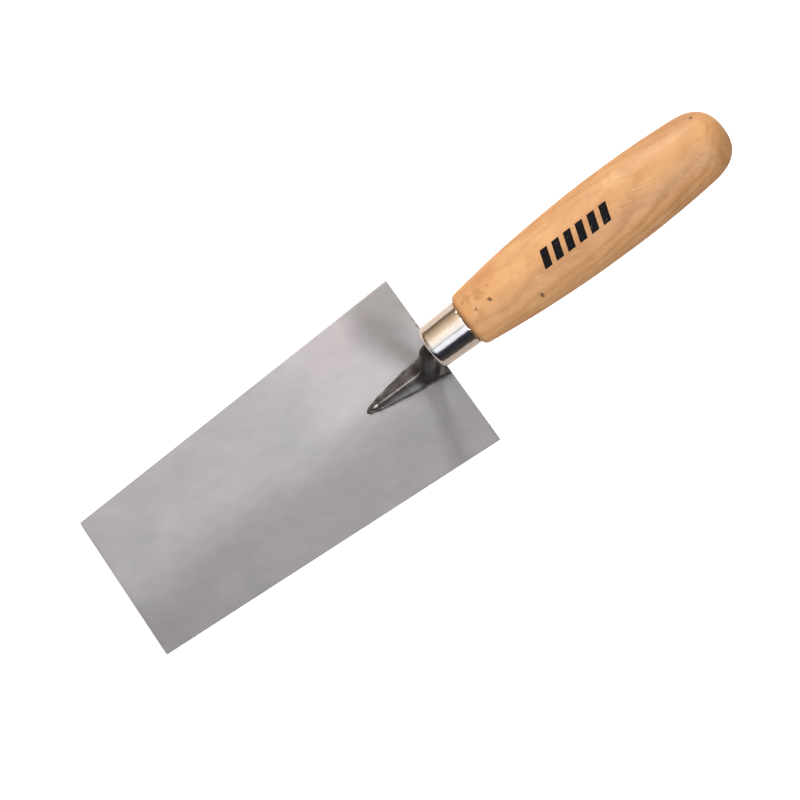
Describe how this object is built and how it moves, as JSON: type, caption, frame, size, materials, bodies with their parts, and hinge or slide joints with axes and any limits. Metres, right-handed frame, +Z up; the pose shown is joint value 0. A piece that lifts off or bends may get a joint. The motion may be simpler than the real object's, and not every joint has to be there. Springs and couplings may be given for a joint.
{
  "type": "bucket trowel",
  "caption": "Flat tapered trowel for mortar and plaster: steel blade with a square front, forged shank with a spear foot, chromed ferrule and turned wooden handle.",
  "frame": {"origin": "middle of the blade's flat underside", "axes": "+X along the trowel from the blade towards the handle's butt, +Z up out of the blade's upper face, where the handle is; the trowel is symmetric about the XZ plane"},
  "size_m": [0.3267, 0.0904, 0.0794],
  "materials": {
    "blade_steel": "rolled spring steel, satin, faintly mottled",
    "forged_steel": "black forging scale with rubbed ridges",
    "weld_steel": "as welded",
    "ferrule_chrome": "bright plated",
    "beech": "turned, sanded and thinly lacquered",
    "mark_ink": "pad-printed ink, slightly worn"
  },
  "bodies": {
    "root": {"blade": "blade_steel", "shank": "forged_steel", "weld_fillet": "weld_steel", "ferrule": "ferrule_chrome", "handle": "beech"}
  },
  "joints": []
}
